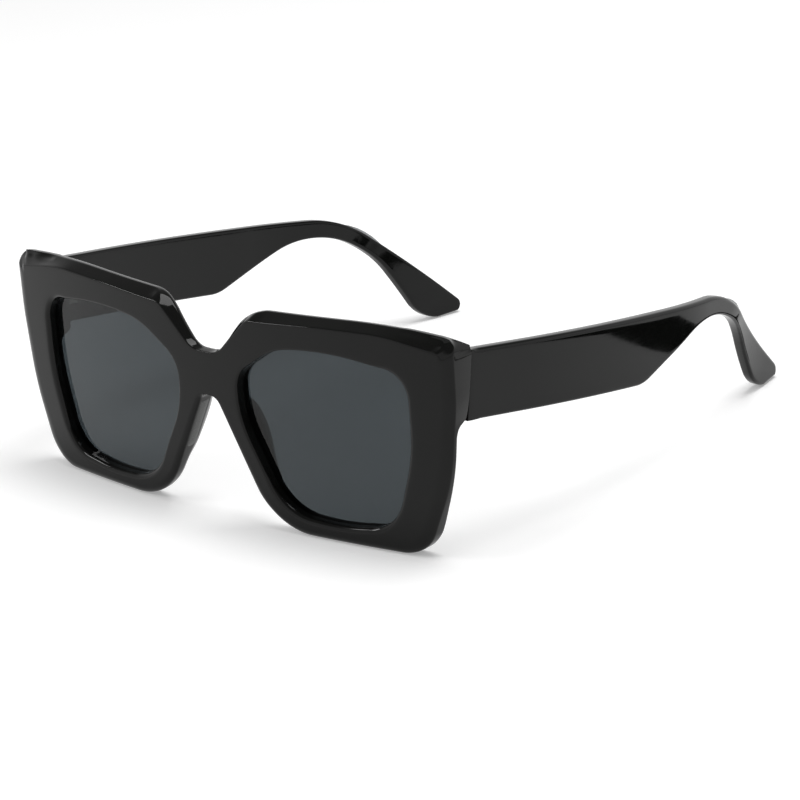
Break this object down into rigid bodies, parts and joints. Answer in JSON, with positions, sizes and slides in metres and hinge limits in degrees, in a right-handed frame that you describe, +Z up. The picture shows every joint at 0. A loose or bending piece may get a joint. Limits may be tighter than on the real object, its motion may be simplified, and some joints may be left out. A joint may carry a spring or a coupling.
{
  "type": "oversized sunglasses",
  "caption": "Oversized square sunglasses with a thick glossy bent front, smoke lenses, moulded nose pads and wide temples that fold in on barrel hinges.",
  "frame": {"origin": "on the table, under the middle of the bounding box of the open sunglasses", "axes": "+X towards the wearer's left, +Y from the lenses to the temple tips, +Z up, lenses facing -Y"},
  "size_m": [0.1546, 0.1578, 0.0577],
  "materials": {
    "front_plastic": "polished black acetate",
    "temple_plastic": "polished black acetate",
    "pad_plastic": "polished black, slightly duller",
    "lens_smoke": "dark smoke grey, hard coated",
    "hinge_metal": "nickel silver, satin",
    "screw_steel": "bright steel",
    "core_wire": "drawn wire"
  },
  "bodies": {
    "front": {"front_frame": "front_plastic", "lens_left": "lens_smoke", "lens_right": "lens_smoke", "nose_pad_left": "pad_plastic", "nose_pad_right": "pad_plastic", "front_hinge_left": "hinge_metal", "front_hinge_right": "hinge_metal", "hinge_screw_left": "screw_steel", "hinge_screw_right": "screw_steel", "front_leaf_screws_left": "screw_steel", "front_leaf_screws_right": "screw_steel"},
    "left_temple": {"temple_left": "temple_plastic", "temple_core_left": "core_wire", "temple_hinge_left": "hinge_metal", "temple_leaf_screws_left": "screw_steel"},
    "right_temple": {"temple_right": "temple_plastic", "temple_core_right": "core_wire", "temple_hinge_right": "hinge_metal", "temple_leaf_screws_right": "screw_steel"}
  },
  "joints": [
    {"name": "left_temple_hinge", "type": "hinge", "parent": "front", "child": "left_temple", "pos_m": [0.07003, -0.0621, 0.0433], "axis": [0, 0.1547, 0.988], "range_deg": [0, 85]},
    {"name": "right_temple_hinge", "type": "hinge", "parent": "front", "child": "right_temple", "pos_m": [-0.07003, -0.0621, 0.0433], "axis": [0, -0.1547, -0.988], "range_deg": [0, 75]}
  ]
}
